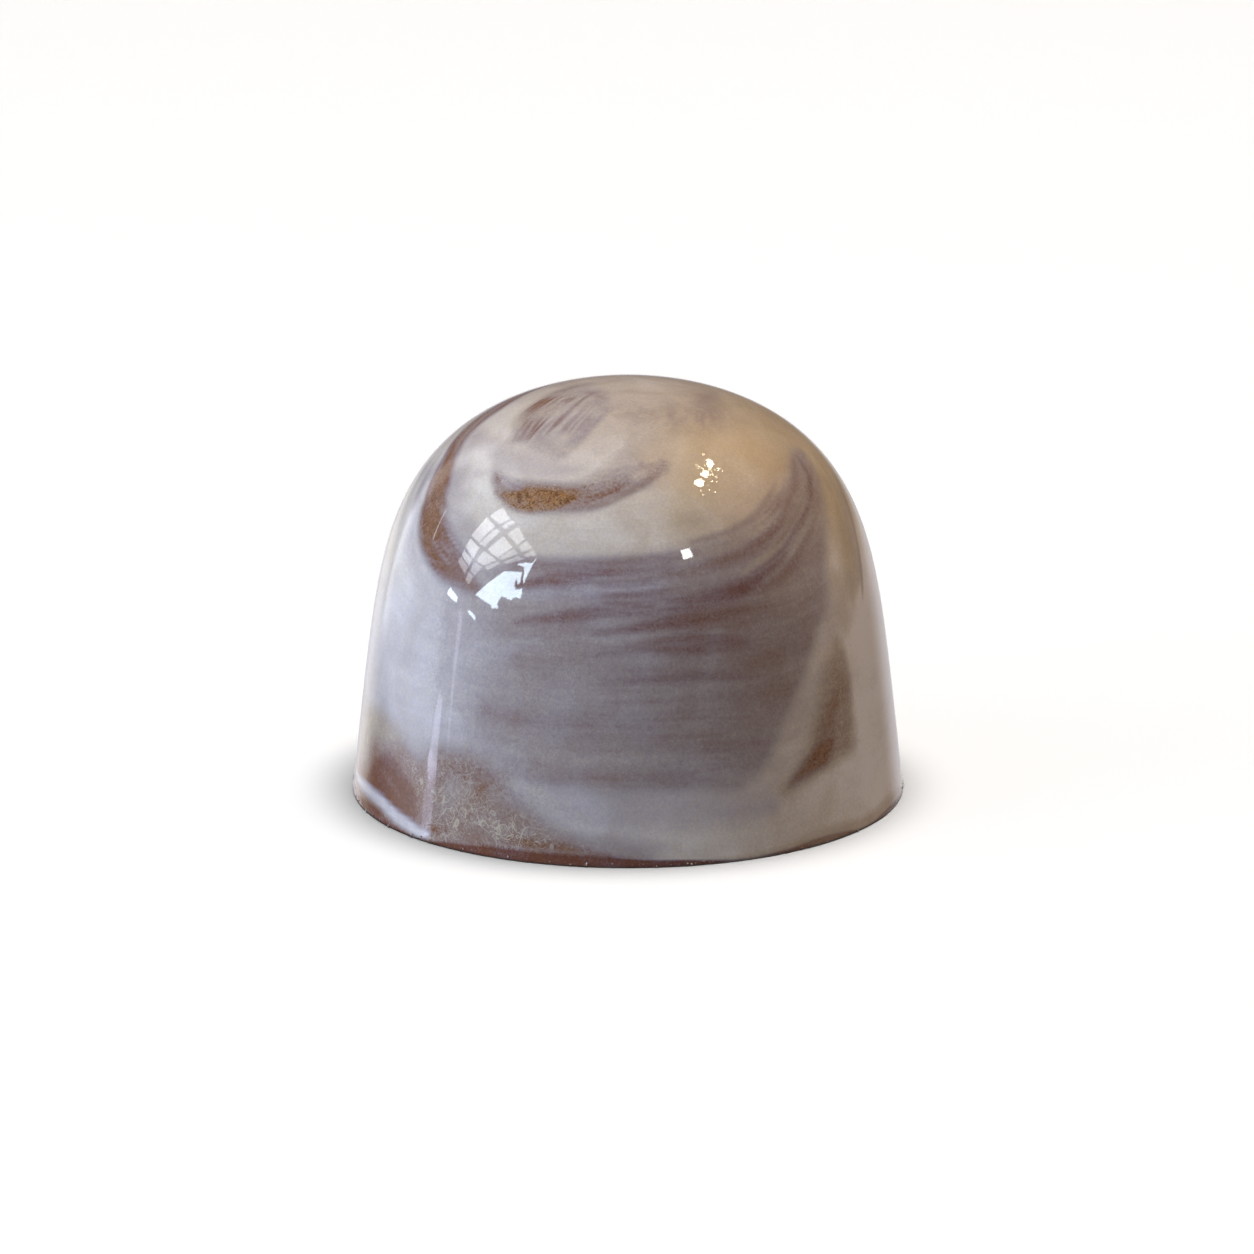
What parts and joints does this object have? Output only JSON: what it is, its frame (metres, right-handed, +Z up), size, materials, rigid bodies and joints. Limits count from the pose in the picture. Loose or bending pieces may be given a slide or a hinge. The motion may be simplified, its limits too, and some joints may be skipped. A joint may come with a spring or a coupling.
{
  "type": "chocolate praline",
  "caption": "Round moulded chocolate praline: a tall glossy dome marbled with white cocoa butter, on a flat base of plain chocolate.",
  "frame": {"origin": "middle of the flat foot, on the surface the praline stands on", "axes": "+Z up along the axis of the dome, +X to the right and -Y towards the viewer of the front"},
  "size_m": [0.0282, 0.0282, 0.0211],
  "materials": {
    "marbled_shell": "high gloss from a polished mould, milk chocolate marbled with white cocoa butter",
    "closing_chocolate": "plain milk chocolate, scraped level, satin"
  },
  "bodies": {
    "root": {"marbled_dome": "marbled_shell", "chocolate_base": "closing_chocolate"}
  },
  "joints": []
}
